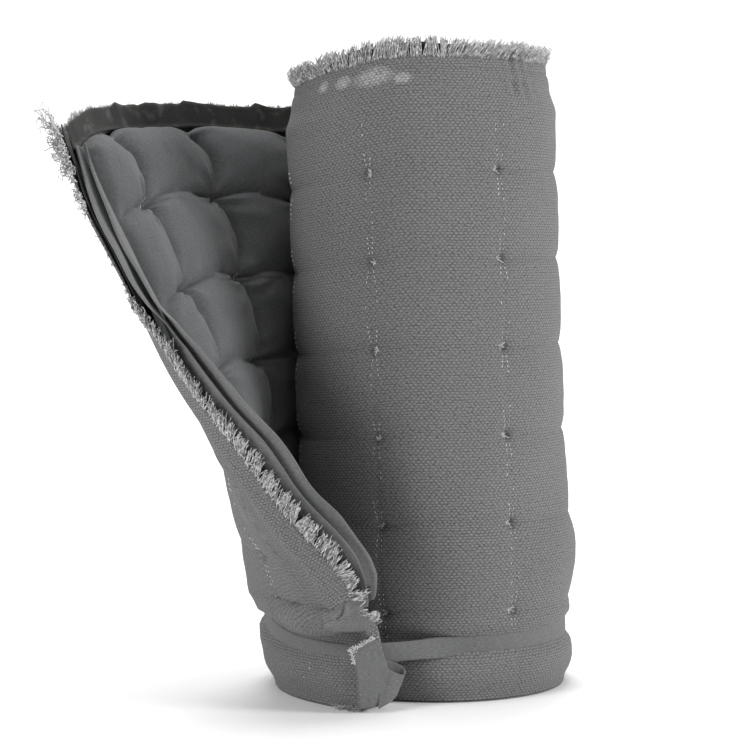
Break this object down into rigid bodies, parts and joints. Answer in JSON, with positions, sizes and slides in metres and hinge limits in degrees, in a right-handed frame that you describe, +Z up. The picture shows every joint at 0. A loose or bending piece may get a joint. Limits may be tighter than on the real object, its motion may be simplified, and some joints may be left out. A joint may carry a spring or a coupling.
{
  "type": "sun lounger cushion",
  "caption": "Long tufted sun lounger pad with fringed cloth borders, rolled up standing on a long side, tied near the floor, one short end peeling away.",
  "frame": {"origin": "centre of the footprint box, at the level of the floor the roll stands on", "axes": "+Z up along the roll, the front with the tie's knot towards -Y, the peeled free end towards -X"},
  "size_m": [0.501, 0.4028, 0.6428],
  "materials": {
    "coarse": "coarse plain weave of thick grey yarn, matt",
    "cotton": "smooth plain grey cotton, matt",
    "lining": "smooth dark grey lining, matt",
    "yarn": "loose light grey yarn",
    "tape": "flat grey cotton tie"
  },
  "bodies": {
    "root": {"pad": "coarse", "border_top": "coarse", "border_end": "coarse", "border_core": "coarse", "border_foot": "coarse", "lining_top": "lining", "lining_end": "lining", "facing_a": "cotton", "facing_b": "cotton", "fringe_top": "yarn", "fringe_end": "yarn", "fringe_core": "yarn", "fringe_foot": "yarn", "tie_band": "tape", "tie_knot": "tape", "tie_tail": "tape", "tie_loop": "tape"}
  },
  "joints": []
}
